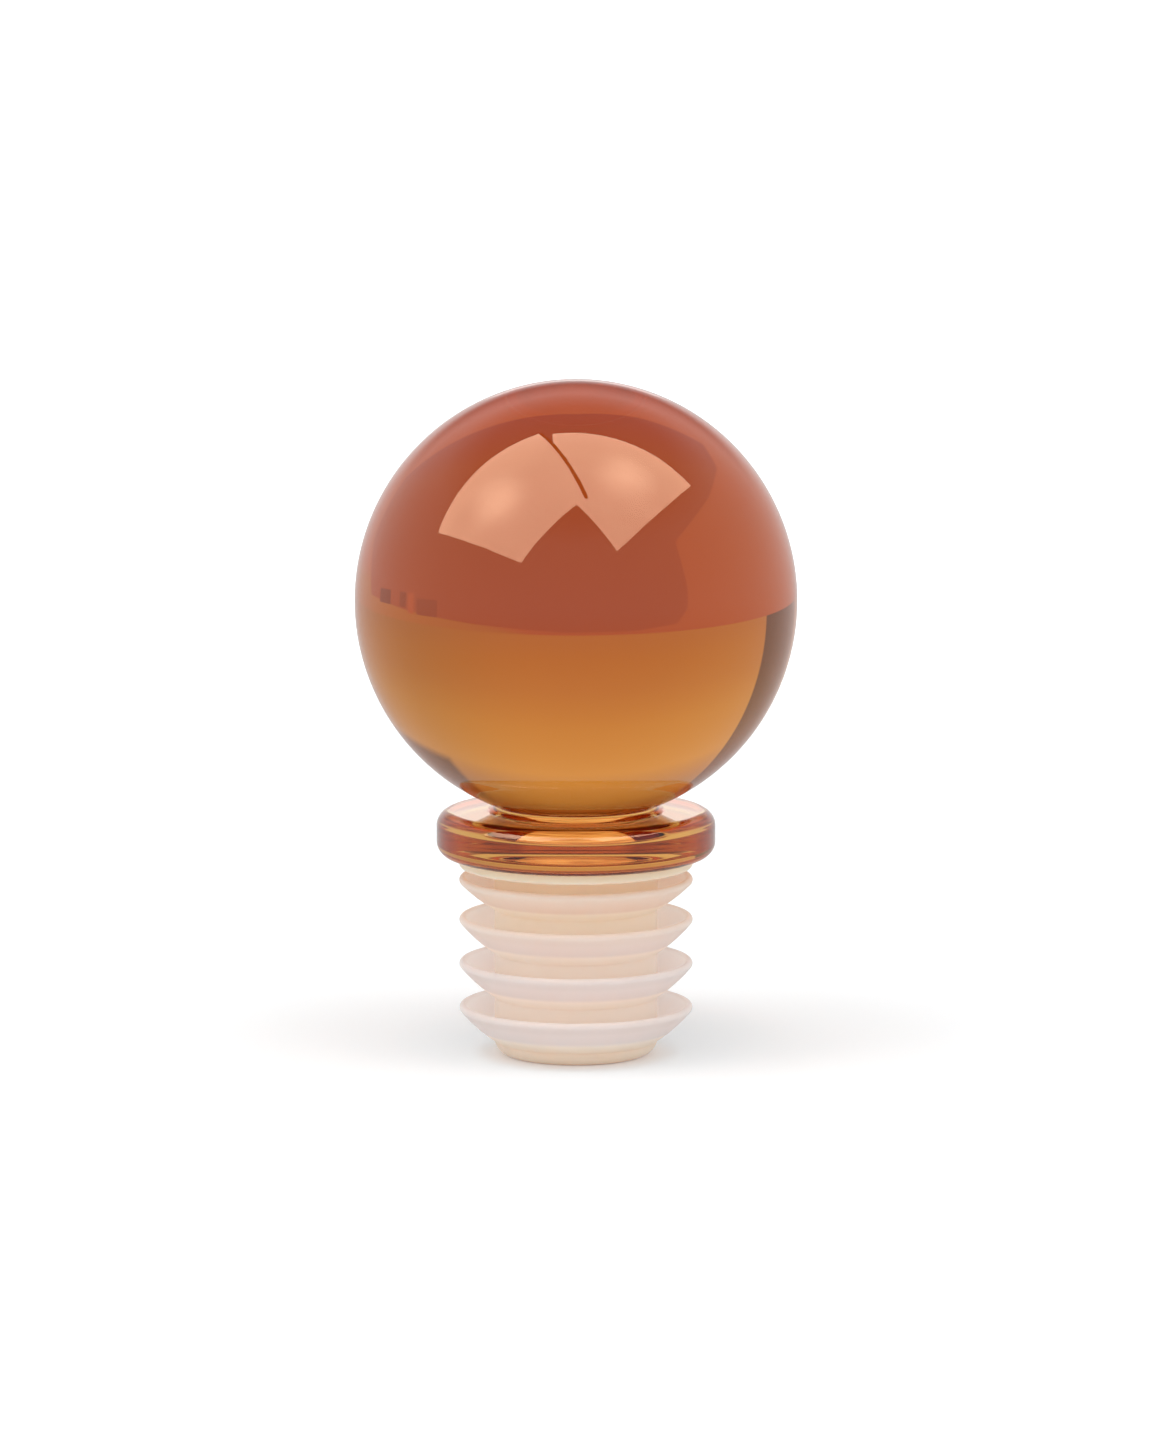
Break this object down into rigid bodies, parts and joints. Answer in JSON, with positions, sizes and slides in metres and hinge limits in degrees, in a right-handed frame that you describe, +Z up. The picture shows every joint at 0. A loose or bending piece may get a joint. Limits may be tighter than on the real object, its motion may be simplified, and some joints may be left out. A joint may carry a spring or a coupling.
{
  "type": "bottle stopper",
  "caption": "Solid amber glass ball bonded to a flanged glass base, with a ribbed translucent silicone seal that grips the inside of a bottle's neck.",
  "frame": {"origin": "middle of the flat foot at the lower end of the seal, on the stopper's axis", "axes": "+Z up the stopper's axis, from the seal's foot towards the glass ball; +X and +Y are any two square directions, because every piece is round"},
  "size_m": [0.04, 0.04, 0.0615],
  "materials": {
    "amber_glass": "clear polished amber glass",
    "bond": "clear, glossy, tinted by the glass around it",
    "silicone": "translucent milky silicone, matte"
  },
  "bodies": {
    "seal": {"seal_sleeve": "silicone", "seal_collar": "silicone", "fin_1": "silicone", "fin_2": "silicone", "fin_3": "silicone", "fin_4": "silicone"},
    "topper": {"glass_ball": "amber_glass", "neck_bond": "bond", "glass_base": "amber_glass"}
  },
  "joints": [
    {"name": "topper_pull_out", "type": "slide", "parent": "seal", "child": "topper", "axis": [0, 0, 1], "range_m": [0, 0.022]}
  ]
}
